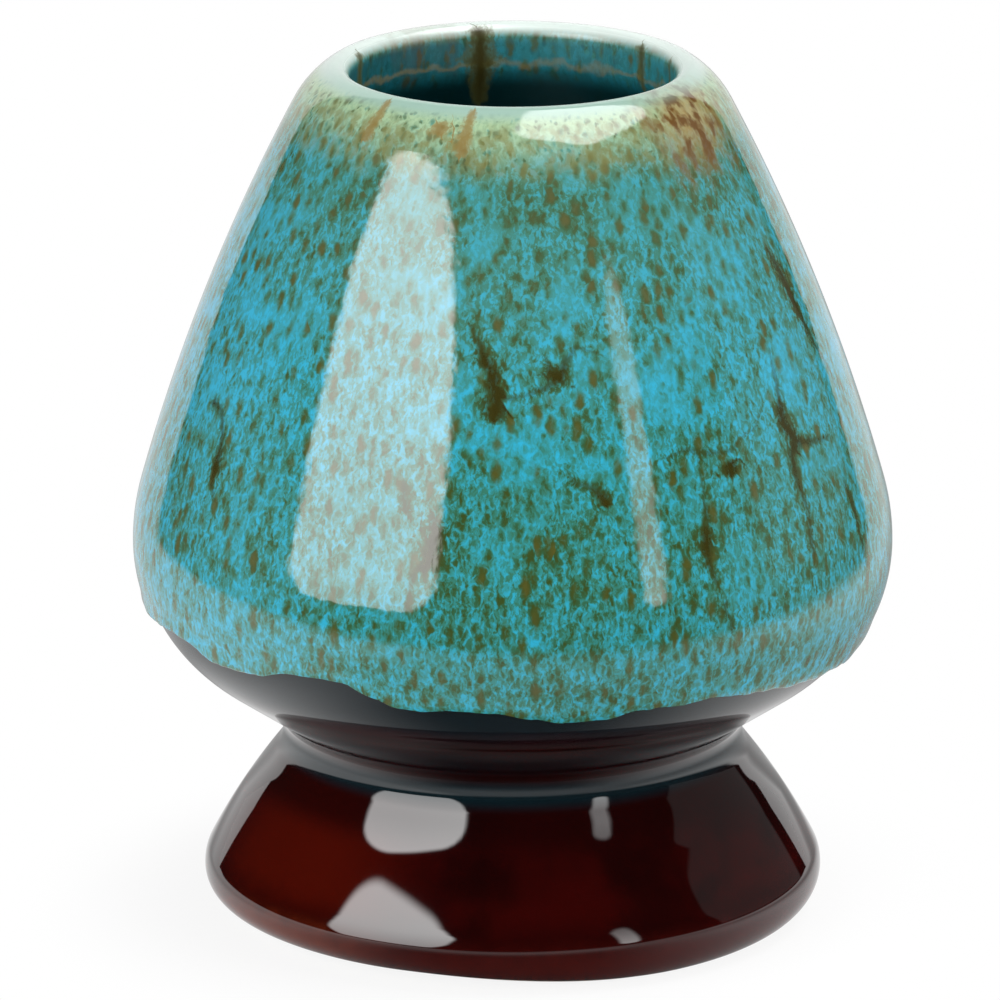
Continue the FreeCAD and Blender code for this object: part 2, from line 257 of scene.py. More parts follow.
class Recipe:
    # the nodes of one material, lamp or sky, all of them from one method
    def __init__(self, holder):
        self.holder = holder
        holder.use_nodes = True
        self.nodes = holder.node_tree.nodes
        self.links = holder.node_tree.links
        self.nodes.clear()

    def add(self, kind, settings=None, inputs=None, output=0):
        node = self.nodes.new("ShaderNode" + kind)
        for key, value in (settings or {}).items():
            if key == "stops":
                ramp = node.color_ramp.elements
                while len(ramp) < len(value):
                    ramp.new(0.5)
                for stop, (position, colour) in zip(ramp, value):
                    stop.position = position
                    stop.color = colour
            else:
                setattr(node, key, value)
        for key, value in (inputs or {}).items():
            if isinstance(value, Wire):
                self.links.new(value.socket, node.inputs[key])
            else:
                node.inputs[key].default_value = value
        return Wire(self, node.outputs[output]) if node.outputs else node

    def blend(self, share, under, over):
        colours = {0: share, 6: self.colour(under), 7: self.colour(over)}
        return self.add("Mix", {"data_type": "RGBA"}, colours, 2)

    def colour(self, value):
        return value if isinstance(value, Wire) else (*value, 1.0)

    def rise(self, value, low, high, start=0.0, end=1.0):
        # a soft step from start to end while value goes from low to high
        limits = {"Value": value, "From Min": low, "From Max": high, "To Min": start, "To Max": end}
        return self.add("MapRange", {"interpolation_type": "SMOOTHSTEP"}, limits)

    def cloud(self, place, scale, detail=2.0, rough=0.5, twist=0.0, output=0):
        sizes = {"Vector": place, "Scale": scale, "Detail": detail, "Roughness": rough, "Distortion": twist}
        return self.add("TexNoise", {}, sizes, output)

    def cells(self, place, scale, feature="F1", jitter=1.0):
        sizes = {"Vector": place, "Scale": scale, "Randomness": jitter}
        return self.add("TexVoronoi", {"feature": feature}, sizes, "Distance")

    def luck(self, cell):
        # a random number that each cell keeps
        return self.add("SeparateColor", {}, {"Color": cell.beside("Color")}, "Red")

    def mark(self, name):
        # a value that the mesh carries at each vertex
        return self.add("Attribute", {"attribute_name": name}, output="Fac")

    def axis(self, place, letter):
        return self.add("SeparateXYZ", {}, {"Vector": place}, letter)

    def stretched(self, place, scale):
        return self.add("Mapping", {}, {"Vector": place, "Scale": scale})

    def vector(self, operation, first, second=(0, 0, 0), output="Vector", share=None):
        sockets = {0: first} if operation == "SCALE" else {0: first, 1: second}
        if share is not None:
            sockets["Scale"] = share
        return self.add("VectorMath", {"operation": operation}, sockets, output)

    def stirred(self, place, scale, reach):
        # the place pushed about by a cloudy noise, up to about half its reach
        push = self.vector("SUBTRACT", self.cloud(place, scale, output="Color"), (0.5, 0.5, 0.5))
        return self.vector("ADD", place, self.vector("SCALE", push, share=reach))

    def millimetres(self):
        return self.stretched(self.add("TexCoord", output="Object"), (1000, 1000, 1000))

    def finish(self, surface, output="OutputMaterial"):
        self.add(output, {}, {"Surface": surface})
        return self.holder


# brown runnels in the poured glaze: azimuth from the front, height and half width in millimetres
runnels = {
    "wander": 0.5,
    "reach": 1.5,
    "outside": [
        [
            (-62, 49.1, 0.3), (-58.5, 48.8, 0.2), (-56, 46.5, 0.22),
            (-56, 44.1, 0.38), (-56, 42.9, 0.2), (-54, 41.8, 0.1),
        ],
        [(-8, 59, 0.12), (-6, 57.3, 0.22), (-4.5, 55.6, 0.5), (-2.5, 53.7, 0.75), (-3.2, 51.8, 0.5)],
        [(-5, 55.5, 0.12), (-3, 54.4, 0.3)],
        [(-2, 53.3, 0.16), (2, 53.5, 0.12), (8, 54.5, 0.25)],
        [(6, 56.4, 0.12), (8, 54.5, 0.45), (10, 56.3, 0.18), (12, 57.2, 0.14), (16, 56.6, 0.08)],
        [
            (26, 47.9, 0.1), (30, 48.3, 0.15), (34, 47.7, 0.16), (39, 47.5, 0.13),
            (42, 48.5, 0.1), (45, 48.8, 0.1), (48, 50.3, 0.07),
        ],
        [(38, 46.4, 0.5), (38, 45.8, 0.5)],
        [(32, 47.6, 0.07), (32, 44.6, 0.12), (31, 42.4, 0.08)],
        [(65, 61.8, 0.2), (67, 59.2, 0.36), (68, 56.6, 0.36), (70, 53.2, 0.2), (73, 50.7, 0.15), (74, 48, 0.1)],
        [(54, 54.4, 0.08), (53, 50.7, 0.22), (52, 48.7, 0.48), (54, 46.9, 0.42), (52, 45.7, 0.3), (52, 43.3, 0.24)],
        [(52, 43.3, 0.24), (53, 41, 0.16), (52, 38.6, 0.22), (52, 36.8, 0.12)],
        [(54, 46.7, 0.32), (59, 46.2, 0.22), (64, 45.9, 0.15)],
        [(65, 42.1, 0.12), (66, 40, 0.22), (66, 37.4, 0.16), (67, 34.3, 0.1)],
        [(-18, 46.4, 0.16), (-17, 43.9, 0.22)],
        [(-13, 44.4, 0.12), (-12, 42.7, 0.38), (-13, 39.7, 0.38), (-15, 39.4, 0.14), (-16, 36, 0.12)],
        [(9, 47.3, 0.1), (10, 46.5, 0.16), (12, 46.3, 0.16), (14, 45.7, 0.28), (15, 44.7, 0.4)],
        [(32, 43.8, 0.16), (31, 40.5, 0.38), (31, 38.8, 0.22), (32, 37.1, 0.14)],
        [(33, 35.3, 0.22), (33, 34.9, 0.22)],
        [(34, 33.7, 0.22), (34, 33.3, 0.22)],
    ],
    "tan": [
        [(-41, 75.1, 0.12), (-41, 73.7, 0.2), (-42, 72.5, 0.25)],
        [(-12, 75.1, 0.14), (-13, 73.6, 0.22), (-13.5, 72.2, 0.26)],
        [(-21, 74, 0.35), (-20, 73.6, 0.35)],
    ],
    "inside": [
        [
            (-168, 74.9, 0.42), (-168.5, 74.1, 0.36), (-168.5, 73.2, 0.4),
            (-168.5, 72.3, 0.75), (-168.5, 71.4, 0.4), (-169, 68, 0.2),
        ],
        [(-111, 74.8, 0.24), (-110, 73.6, 0.2), (-109, 71.6, 0.2)],
        [(128, 74.6, 0.25), (127, 72.6, 0.16), (127, 71, 0.12)],
        [(106, 74.5, 0.14), (105, 72.4, 0.1)],
    ],
}


def outsidePoint(azimuth, height):
    arcs = outsideArcs(vessel["fullCoat"])
    for name in ("under", "shoulder", "wall", "lip"):
        centre, radius, _, end = arcs[name]
        angle = math.degrees(math.asin(max(-1, min(1, (height - centre[1]) / radius))))
        if angle <= end:
            break
    turn = math.radians(azimuth)
    across = onCircle(centre, radius, angle)[0]
    return Vector((across * math.sin(turn), -across * math.cos(turn), height))


def insidePoint(azimuth, height):
    inside = insideArcs(vessel["fullCoat"])
    centre, radius, start, _ = inside["edge"]
    shoulder, shoulderRadius, _, shoulderEnd = inside["shoulder"]
    top, low = onCircle(centre, radius, start), onCircle(shoulder, shoulderRadius, shoulderEnd)
    if height > top[1]:
        across = centre[0] - math.sqrt(radius**2 - min(0, height - centre[1]) ** 2)
    else:
        across = top[0] + (low[0] - top[0]) * (top[1] - height) / (top[1] - low[1])
    turn = math.radians(azimuth)
    return Vector((across * math.sin(turn), -across * math.cos(turn), height))


def markRunnels(mesh):
    # gives each vertex its signed distance to the nearest runnel, the half width there and how tan it is,
    # and how far it faces the axis
    layers = mesh.verts.layers.float
    across, width, warmth = layers.new("runnelAcross"), layers.new("runnelWidth"), layers.new("runnelWarmth")
    inward = layers.new("inward")
    mesh.normal_update()
    mesh.verts.ensure_lookup_table()
    tree = kdtree.KDTree(len(mesh.verts))
    for vert in mesh.verts:
        tree.insert(vert.co, vert.index)
        vert[across] = 3.0
        vert[inward] = -vert.normal.dot(Vector((vert.co.x, vert.co.y, 0)).normalized())
    tree.balance()
    reach, nearest = runnels["reach"], {}
    groups = (("outside", outsidePoint, 0.0), ("tan", outsidePoint, 1.0), ("inside", insidePoint, 0.2))
    for group, point, warm in groups:
        for stroke in runnels[group]:
            for (turnA, heightA, widthA), (turnB, heightB, widthB) in zip(stroke, stroke[1:]):
                start, end = point(turnA, heightA), point(turnB, heightB)
                run = end - start
                for place, index, _ in tree.find_range((start + end) / 2, run.length / 2 + 2 * reach):
                    share = (place - start).dot(run) / run.length_squared
                    along = max(0.0, min(1.0, share))
                    offset = place - start - run * along
                    away = offset.length
                    if away >= nearest.get(index, 2 * reach):
                        continue
                    nearest[index] = away
                    vert = mesh.verts[index]
                    past = abs(share - along) * run.length
                    half = widthA + (widthB - widthA) * along
                    fade = max(0.0, min(1.0, (3 * half + 0.6 - away) * 2)) * max(0.0, 1 - past / 0.8)
                    vert[across] = math.copysign(away, run.cross(offset).dot(vert.normal))
                    vert[width] = half * fade
                    vert[warmth] = warm


# the poured glaze: linear colours, cells and lines per millimetre
pouredGlaze = {
    "depths": [
        (0.0, (0.028, 0.4, 0.61, 1)), (0.19, (0.032, 0.33, 0.43, 1)), (0.385, (0.034, 0.25, 0.25, 1)),
        (0.58, (0.036, 0.175, 0.125, 1)), (0.77, (0.032, 0.105, 0.045, 1)), (1.0, (0.04, 0.068, 0.016, 1)),
    ],
    # painted sheen
    "paintedSheen": (0.5, 0.6, 0.5),
    "olive": (0.1, 0.085, 0.016),
    "rust": (0.12, 0.05, 0.012),
    "orange": (0.36, 0.23, 0.08),
    "runnel": (0.035, 0.028, 0.004),
    "runnelEdge": (0.07, 0.095, 0.022),
    "celadon": (0.36, 0.5, 0.3),
    "crest": (0.3, 0.45, 0.38),
    "paintedLightFarCrest": (0.64, 0.72, 0.68),
    "neck": (0.001, 0.18, 0.25),
    "tan": (0.27, 0.19, 0.06),
    "mottle": (0.2, 0.19, 0.06),
    # painted shade deep inside the neck
    "deep": (0.0008, 0.018, 0.02),
    "spots": 0.88,
    "smallSpots": 1.25,
    "grain": 2.9,
    "rustMiddle": (14.1, -9.5, 72.8),
    "rustBehind": (-8.5, 12.0, 75.0),
    "rough": 0.05,
    "roughInside": 0.25,
    "bend": 1.8,
}


def turquoiseGlaze():
    r, g = Recipe(bpy.data.materials.new("turquoiseGlaze")), pouredGlaze
    place = r.millimetres()
    height = r.axis(place, "Z")
    loose = r.stirred(place, 1.1, 0.7)
    tall = r.stretched(loose, (1, 1, 0.65))
    inside = r.rise(r.mark("inward"), 0.3, 0.7)

    # how deep the green lies over the clean blue: clouds, a fine grain, dashes and a pale web low on the wall
    patches = r.cloud(place, 0.15, 2.0)
    low = r.rise(height, 38, 60, 1.0, 0.0)
    belt = r.rise(height, 33.5, 36.5, 0.65, 1.0) * r.rise(height, 42, 52, 1.0, 0.0)
    side = r.axis(place, "X")
    hazy = (r.rise(patches, 0.34, 0.54) * 0.5 + low * 0.2 + 0.5).least(1.05)
    grain = r.cloud(r.stretched(loose, (1, 1, 0.44)), g["grain"], 3.0, 0.6)
    web = r.rise(r.cells(tall, 1.4, "DISTANCE_TO_EDGE"), 0.02, 0.17, 1.0, 0.0)
    dashes = r.rise(r.cells(r.stretched(loose, (1, 1, 0.4)), 1.7), 0.1, 0.42, 1.0, 0.0)
    dashes = dashes * r.rise(r.cloud(place, 0.8), 0.34, 0.56)
    depth = (r.rise(grain, 0.4, 0.58) * 0.5 + 0.1) * hazy + dashes * hazy.most(0.8) * 0.42
    depth = depth + r.rise(height, 52, 66) * 0.1 + r.rise(height, 62, 69) * 0.14
    # a belt around the belly deepens the green; painted light makes the wall bluer and paler toward the left, and a
    # little toward the right
    depth = depth + belt * 0.25 - r.rise(side, -28, -6, 0.21, 0.0) - r.rise(side, 6, 28, 0.0, 0.09)
    depth = depth + r.rise(r.cloud(place, 0.45), 0.42, 0.68) * 0.14 - web * (low * 0.2 + 0.04)

    # drop-shaped olive spots in green halos, with smaller ones between them
    cell = r.cells(r.stretched(loose, (1, 1, 0.38)), g["spots"], jitter=0.92)
    luck = r.luck(cell)
    small = r.cells(r.stretched(loose, (1, 1, 0.36)), g["smallSpots"])
    smallLuck = r.luck(small)
    spotted = r.rise(patches, 0.24, 0.42, 0.78, 1.0)
    fray = (grain - 0.5) * 0.42
    halo = r.rise(cell - luck * 0.1 + fray, 0.08, 0.64, 1.0, 0.0) * spotted
    core = r.rise(cell - luck * 0.12 + fray, -0.08, 0.4, 1.0, 0.0) * spotted
    minor = r.rise(small + fray, 0.0, 0.5, 1.0, 0.0) * r.rise(smallLuck, 0.1, 0.5) * spotted
    depth = depth + halo * 0.36 + core * (luck * 0.36 + 0.2) + minor * 0.36

    # runnels of brown, frayed by the grain
    wander = (r.cloud(place, 1.4, 3.0, 0.6) - 0.5) * runnels["wander"]
    across = (r.mark("runnelAcross") + wander).size()
    width = r.mark("runnelWidth")
    warm = r.mark("runnelWarmth")
    runnel = across / width.most(0.001) * r.rise(grain, 0.3, 0.62, 1.3, 0.7)
    thick = r.rise(width, 0.04, 0.4, 0.25, 1.0)
    depth = depth + r.rise(runnel, 0.4, 4.4, 0.6, 0.0) * thick * (1 - warm)
    colour = r.add("ValToRGB", {"stops": g["depths"]}, {0: depth * 0.77})
    colour = r.blend(core * r.rise(luck, 0.3, 1.0) * 0.7, colour, g["olive"])
    # a faint pale sheen painted on the upper wall and toward the left and right sides
    paintedSheen = r.rise(height, 46, 64).most(r.rise(side.size(), 13, 24)) * (1 - inside)
    colour = r.blend(paintedSheen * 0.045, colour, g["paintedSheen"])

    # the rim pales to celadon over a tan mottle, with rust streaks at its right
    uneven = height + r.cloud(place, 0.5, 3.0) * 2.4 - 1.2
    celadonShare = r.rise(uneven, 68.8, 74.8) ** 1.3 * (1 - inside * 0.85)
    celadonShare = celadonShare * r.rise(core.most(minor).most(dashes), 0.0, 1.0, 1.0, 0.2)
    celadonShare = celadonShare * r.rise(grain, 0.4, 0.62, 1.0, 0.75)
    mottle = r.rise(r.cloud(r.stretched(loose, (1, 1, 0.4)), 1.2, 3.0), 0.42, 0.62)
    tanShare = r.rise(uneven, 69.4, 72.0) * mottle * (1 - inside) * 0.6
    colour = r.blend(celadonShare, colour, g["celadon"])
    colour = r.blend(tanShare * r.rise(height, 73.4, 74.8, 1.0, 0.0), colour, g["mottle"])
    streaks = r.cloud(r.stretched(loose, (1, 1, 0.16)), 0.85, 3.0)
    rusty = r.rise(r.vector("DISTANCE", place, g["rustMiddle"], "Value") + streaks * 7, 5, 10.5, 1.0, 0.0)
    rusty = rusty.most(r.rise(r.vector("DISTANCE", place, g["rustBehind"], "Value") + streaks * 9, 5, 10, 0.5, 0.0))
    colour = r.blend(rusty * 0.7, colour, g["orange"])
    colour = r.blend(rusty * r.rise(streaks, 0.4, 0.58, 1.0, 0.0) * 0.9, colour, g["rust"])
    # the crest tone, paler on the far side as painted light
    back = r.axis(place, "Y")
    crestToneAndPaintedLight = r.blend(r.rise(back, -13, 12), g["crest"], g["paintedLightFarCrest"])
    colour = r.blend(r.rise(height, 74.2, 75.2) * (1 - rusty * 0.5), colour, crestToneAndPaintedLight)

    # inside the neck: a darker blue, painted shade deepening down the neck and at its left near the top, and a tan
    # ledge
    ledge = r.rise((uneven - 71.9).size(), 0.0, 0.45, 1.0, 0.0)
    neckShare = inside * r.rise(height, 73.6, 74.6, 0.6, 0.0) * r.rise(core.most(minor), 0.1, 0.7, 1.0, 0.25)
    colour = r.blend(neckShare, colour, g["neck"])
    leftShade = r.rise(side, -14, 6, 0.6, 0.0) * r.rise(height, 73.8, 74.6, 1.0, 0.0)
    shade = r.rise(height, 69.5, 72.4, 0.96, 0.0).most(leftShade)
    colour = r.blend(inside * shade, colour, g["deep"])
    colour = r.blend(inside * ledge * 0.38, colour, g["tan"])

    edgeTone = r.blend(warm, g["runnelEdge"], g["tan"])
    coreTone = r.blend(r.rise(warm, 0.2, 0.8), g["runnel"], g["rust"])
    colour = r.blend(r.rise(runnel, 0.6, 4.2, 0.8, 0.0) * r.rise(warm, 0.0, 0.25, 0.0, 1.0), colour, edgeTone)
    colour = r.blend(r.rise(runnel, 0.0, 2.4, 0.95, 0.0) * thick * r.rise(warm, 0.6, 0.9, 1.0, 0.25), colour, coreTone)

    waves = r.cloud(place, 0.28, 1.0) * 0.016 + r.cloud(place, 0.75, 1.0) * 0.011 + halo * 0.0022
    bump = r.add("Bump", {}, {"Height": waves, "Distance": 0.001})
    rough = inside * g["roughInside"] + g["rough"]
    looks = {"Base Color": colour, "Normal": bump, "Roughness": rough, "IOR": g["bend"]}
    return r.finish(r.add("BsdfPrincipled", {}, looks))


# the iron glaze: deep red-brown, amber on one flank and thin over the toe
ironGlazeTones = {
    "dark": (0.008, 0.0002, 0.0002),
    "maroon": (0.024, 0.0006, 0.0004),
    "amber": (0.06, 0.0028, 0.0004),
    "toe": (0.04, 0.0025, 0.0015),
    "thinToe": (0.12, 0.016, 0.004),
    # painted reflection
    "paintedReflection": (0.002, 0.011, 0.015),
    "amberMiddle": (-18.5, -15.5, 8.5),
    "rough": 0.04,
    "bend": 1.8,
}


def ironGlaze():
    r, g = Recipe(bpy.data.materials.new("ironGlaze")), ironGlazeTones
    place = r.millimetres()
    height = r.axis(place, "Z")
    cloudy = r.cloud(place, 0.12, 3.0)
    uneven = height + r.cloud(place, 0.5, 2.0) * 1.6 - 0.8
    amberShare = r.rise(r.vector("DISTANCE", place, g["amberMiddle"], "Value") + cloudy * 8 - 4, 4, 15, 1.0, 0.0)
    colour = r.blend(r.rise(cloudy, 0.35, 0.65), g["dark"], g["maroon"])
    colour = r.blend(amberShare * 0.85, colour, g["amber"])
    colour = r.blend(r.rise(uneven, 4.6, 7.4, 0.7, 0.0).most(r.rise(height, 10.8, 13.2, 0.0, 0.8)), colour, g["dark"])
    # painted reflection: a teal-grey band at the waist for the belly's mirrored underside, and grey high under the
    # poured coat for the mirrored floor
    paintedReflection = (r.rise(height, 14.4, 15.6) * r.rise(height, 16.4, 17.6, 0.9, 0.0)).most(r.rise(height, 22, 25, 0.0, 0.8))
    colour = r.blend(paintedReflection, colour, g["paintedReflection"])
    colour = r.blend(r.rise(uneven, 2.4, 5.6, 1.0, 0.0), colour, r.blend(amberShare, g["toe"], g["thinToe"]))
    # the thick coat hollows the flank's upper half
    climb = r.add("Math", {"operation": "SMOOTH_MIN"}, {0: (height - 10.6).most(0.0), 1: 4.3, 2: 1.4})
    waves = r.cloud(place, 0.2, 1.0) * 0.01 + climb * climb * 0.055
    bump = r.add("Bump", {}, {"Height": waves, "Distance": 0.001})
    looks = {"Base Color": colour, "Normal": bump, "Roughness": g["rough"], "IOR": g["bend"]}
    return r.finish(r.add("BsdfPrincipled", {}, looks))


clayTones = {"pale": (0.7, 0.66, 0.58), "dark": (0.55, 0.5, 0.42), "rough": 0.8}


def stoneware():
    r = Recipe(bpy.data.materials.new("stoneware"))
    place = r.millimetres()
    colour = r.blend(r.cloud(place, 1.5, 6.0), clayTones["pale"], clayTones["dark"])
    looks = {"Base Color": colour, "Roughness": clayTones["rough"]}
    return r.finish(r.add("BsdfPrincipled", {}, looks))


glaze = {"turquoise": turquoiseGlaze(), "iron": ironGlaze(), "clay": stoneware()}
print("materials ready")

# the poured coat: its lower edge as a share of the way from waist to belly,
# by azimuth in degrees from the front, positive to the right
pour = {
    "steps": 384,
    "edgeAngle": -30.0,
    "roll": 0.22,
    "rollReach": 9.0,
    "wobble": 0.11,
    "runLine": {
        -180: 0.62, -165: 0.57, -150: 0.60, -135: 0.65, -120: 0.60, -105: 0.62, -90: 0.69, -73: 0.724,
        -65: 0.75, -59: 0.745, -53: 0.693, -48: 0.687, -42: 0.698, -37: 0.747, -31: 0.76, -26: 0.749,
        -21.5: 0.696, -18: 0.65, -14: 0.636, -9: 0.65, -3: 0.645, 3: 0.614, 8.5: 0.585, 14.6: 0.593,
        19: 0.62, 26: 0.63, 32: 0.639, 40: 0.613, 50: 0.581, 60: 0.56, 72: 0.527, 90: 0.56,
        105: 0.59, 120: 0.63, 135: 0.57, 150: 0.54, 165: 0.60,
    },
}


def runShare(azimuth):
    stops = sorted(pour["runLine"].items())
    stops.append((stops[0][0] + 360, stops[0][1]))
    for (start, low), (end, high) in zip(stops, stops[1:]):
        if start <= azimuth <= end:
            part = (azimuth - start) / (end - start)
            part = part * part * (3 - 2 * part)
            return low + (high - low) * part
    return stops[-1][1]


def pourOver(mesh):
    # slides the coat's underside up or down to the run line and thickens its edge to a roll
    centre, radius, _, _ = outsideArcs(vessel["fullCoat"])["under"]
    backRadius = vessel["underRound"] + vessel["baseCoat"]
    drop = vessel["bellyHeight"] - vessel["waistHeight"]
    edges = {}
    for vert in mesh.verts:
        across, up = math.hypot(vert.co.x, vert.co.y) - centre[0], vert.co.z - centre[1]
        reach = math.hypot(across, up)
        if up >= 0 or reach < backRadius - 0.2 or across < 0:
            continue
        azimuth = math.degrees(math.atan2(vert.co.x, -vert.co.y))
        key = round(azimuth, 2)
        if key not in edges:
            turn = math.radians(azimuth)
            ring = Vector((math.sin(turn), math.cos(turn), 0))
            waver = noise.noise(ring * 14) * 1.4 + noise.noise(ring * 33) * 0.9
            fall = drop * (1 - runShare(azimuth)) + pour["wobble"] * waver
            edges[key] = -math.degrees(math.asin(fall / radius)), noise.noise(ring * 9 + Vector((5, 3, 1)))
        edge, fat = edges[key]
        angle = math.degrees(math.atan2(up, across))
        nearness = max(0.0, 1 - (angle - pour["edgeAngle"]) / pour["rollReach"]) if angle > pour["edgeAngle"] else 1.0
        swell = pour["roll"] * (0.8 + 0.6 * fat) * nearness**2 * (3 - 2 * nearness)
        if reach > backRadius + 0.05:
            reach += swell * (reach - backRadius) / (radius - backRadius)
        turned = math.radians(angle * edge / pour["edgeAngle"])
        flat = (centre[0] + reach * math.cos(turned)) / math.hypot(vert.co.x, vert.co.y)
        vert.co = (vert.co.x * flat, vert.co.y * flat, centre[1] + reach * math.sin(turned))


def pouredCoat():
    front = outsideArcs(vessel["fullCoat"])
    back = outsideArcs(vessel["baseCoat"])
    inside, clay = insideArcs(vessel["fullCoat"]), insideArcs(0)
    under, radius, _, _ = front["under"]
    half = (vessel["fullCoat"] - vessel["baseCoat"]) / 2
    section = Contour((0, inside["hollow"][0][1] - inside["hollow"][1]))
    section.lineTo((inside["hollow"][0][0], section.tip.co.z), 5)
    section.arc(inside["hollow"], 1.6)
    section.arc(inside["shoulder"], 1.6)
    section.lineTo(onCircle(inside["edge"][0], inside["edge"][1], inside["edge"][2]), 24)
    section.arc(inside["edge"], 0.5)
    section.lineTo(onCircle(front["crest"][0], front["crest"][1], 180), 4)
    section.arc(front["crest"], 0.2, back=True)
    section.arc(front["lip"], 0.5, back=True)
    section.arc(front["wall"], 0.6, back=True)
    section.arc(front["shoulder"], 0.7, back=True)
    section.arc((under, radius, pour["edgeAngle"], 0), 0.35, back=True)
    middle = onCircle(under, radius - half, pour["edgeAngle"])
    section.arc((middle, half, pour["edgeAngle"], pour["edgeAngle"] - 180), 0.12)
    section.arc((under, radius - 2 * half, pour["edgeAngle"], 0), 0.7)
    for name in ("shoulder", "wall", "lip"):
        section.arc(back[name], 1.8)
    section.arc(back["crest"], 0.4)
    section.arc(clay["edge"], 0.8, back=True)
    section.arc(clay["shoulder"], 2.0, back=True)
    section.arc(clay["hollow"], 2.0, back=True)
    section.lineTo((0, section.tip.co.z))
    mesh = section.turn(pour["steps"])
    pourOver(mesh)
    markRunnels(mesh)
    makePiece("pouredCoat", mesh, glaze["turquoise"], "turquoise_glaze", "run_glaze", "lining_glaze")


def eased(value, low, high):
    share = max(0.0, min(1.0, (value - low) / (high - low)))
    return share * share * (3 - 2 * share)


# the toe's lower edge isn't level: it stands off the table from the left round to the front
toeLift = {"most": 0.8, "leftRise": (-130, -38), "rightFall": (-22, 34), "reach": (0.4, 4.4)}


def liftToe(mesh):
    for vert in mesh.verts:
        azimuth = math.degrees(math.atan2(vert.co.x, -vert.co.y))
        share = eased(azimuth, *toeLift["leftRise"]) * (1 - eased(azimuth, *toeLift["rightFall"]))
        vert.co.z += toeLift["most"] * share * (1 - eased(vert.co.z, *toeLift["reach"]))
    return mesh


base = {
    "steps": 256,
    "edgeSteps": 0.08,
    "stepsOut": {
        "toe": 0.35, "flank": 0.5, "waist": 0.2, "under": 0.5,
        "shoulder": 2.0, "wall": 3.0, "lip": 1.0, "crest": 0.2,
    },
}


def ironCoat():
    front, back = outsideArcs(vessel["baseCoat"]), outsideArcs(0)
    toe, radius, start, _ = front["toe"]
    half = vessel["baseCoat"] / 2
    section = Contour(onCircle(toe, radius - 2 * half, start))
    section.arc((onCircle(toe, radius - half, start), half, start - 180, start), base["edgeSteps"])
    for name, step in base["stepsOut"].items():
        section.arc(front[name], step)
    for name, step in reversed(base["stepsOut"].items()):
        section.arc(back[name], 2 * step, back=True)
    makePiece("ironCoat", liftToe(section.turn(base["steps"])), glaze["iron"], "iron_glaze", "base_glaze")


foot = {"steps": 256, "ringRound": 0.35}


def wellArc(coat):
    v = vessel
    corner = (v["footRingRadius"] - v["footRingWidth"] - v["wellRound"], v["footRoof"] - v["wellRound"])
    return corner, v["wellRound"] - coat, 90, 0


def clayFoot():
    v, soft = vessel, foot["ringRound"]
    side = outsideArcs(0)
    ringInside = v["footRingRadius"] - v["footRingWidth"]
    waist, waistRound, waistStart, _ = side["waist"]
    top = v["waistHeight"] - v["slipHalf"]
    section = Contour((0, v["footRoof"]))
    section.arc(wellArc(0), 1.0)
    section.lineTo((ringInside, soft), 3)
    section.arc(((ringInside + soft, soft), soft, 180, 270), 0.12)
    section.arc(((v["footRingRadius"] - soft, soft), soft, 270, 325), 0.12)
    section.arc(side["toe"], 0.5)
    section.arc(side["flank"], 1.0)
    waistEnd = 180 - math.degrees(math.asin((top - waist[1]) / waistRound))
    section.arc((waist, waistRound, waistStart, waistEnd), 0.3)
    section.lineTo((0, top))
    makePiece("clayFoot", liftToe(section.turn(foot["steps"])), glaze["clay"], "stoneware", "foot_stand")


def wellCoat():
    v = vessel
    ringInside = v["footRingRadius"] - v["footRingWidth"]
    half = v["baseCoat"] / 2
    section = Contour((0, v["footRoof"] - v["baseCoat"]))
    section.arc(wellArc(v["baseCoat"]), 1.0)
    section.lineTo((ringInside - 2 * half, v["wellBareStrip"] + half))
    section.arc(((ringInside - half, v["wellBareStrip"] + half), half, 180, 360), 0.1)
    section.arc(wellArc(0), 1.2, back=True)
    section.lineTo((0, v["footRoof"]))
    makePiece("wellCoat", section.turn(foot["steps"]), glaze["iron"], "iron_glaze", "foot_lining_glaze")


pouredCoat()
ironCoat()
clayFoot()
wellCoat()
for name in ("body_shell", "joint_slip"):
    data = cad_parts[name].data
    data.materials.clear()
    data.materials.append(glaze["clay"])
print("pieces made")

